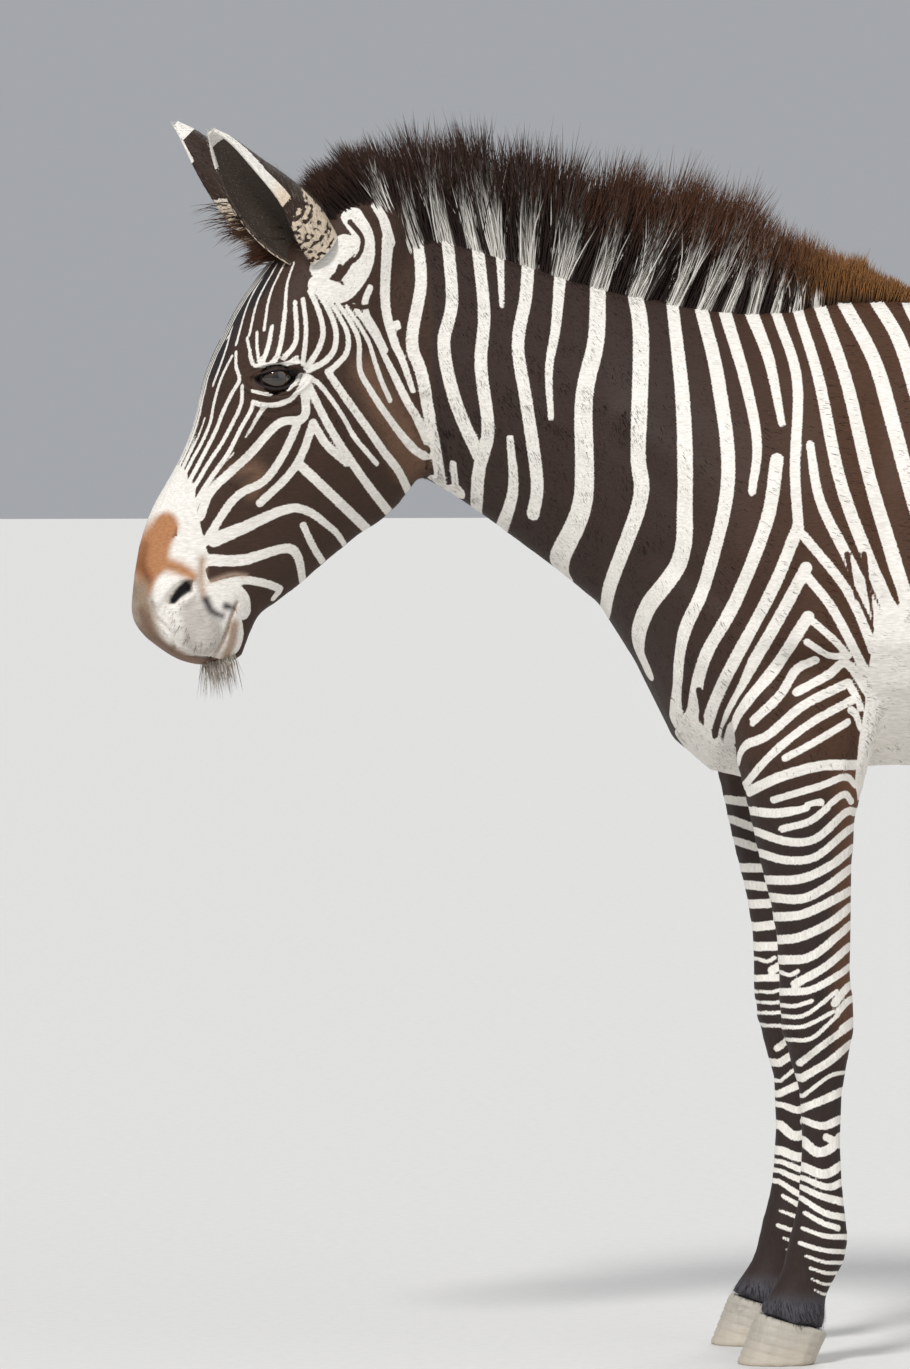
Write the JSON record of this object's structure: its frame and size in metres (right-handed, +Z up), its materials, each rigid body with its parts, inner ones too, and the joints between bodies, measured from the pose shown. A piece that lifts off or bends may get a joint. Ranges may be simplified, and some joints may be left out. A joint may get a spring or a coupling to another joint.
{
  "type": "zebra model",
  "caption": "Life-size still model of an adult narrow-striped zebra standing square, head lowered and turned a little to its left, with an upright mane and a tufted tail.",
  "frame": {"origin": "on the floor under the middle of the whole animal's bounding box", "axes": "+Z up, the animal faces -X, its left side is towards -Y and its right side towards +Y"},
  "size_m": [2.2302, 0.569, 1.6828],
  "materials": {
    "coat": "short glossy coat hair, white with narrow black-brown stripes",
    "mane_hair": "long coarse hair, dark brown with white bands",
    "hoof_horn": "dusty grey-beige horn, satin",
    "eyeball": "wet, very glossy, dark brown"
  },
  "bodies": {
    "root": {"head": "coat", "neck": "coat", "trunk": "coat", "tail": "coat", "left_ear": "coat", "right_ear": "coat", "left_foreleg": "coat", "right_foreleg": "coat", "left_hindleg": "coat", "right_hindleg": "coat", "mane": "mane_hair", "forelock": "mane_hair", "tail_tuft": "mane_hair", "left_fore_hoof": "hoof_horn", "right_fore_hoof": "hoof_horn", "left_hind_hoof": "hoof_horn", "right_hind_hoof": "hoof_horn", "left_eye": "eyeball", "right_eye": "eyeball"}
  },
  "joints": []
}
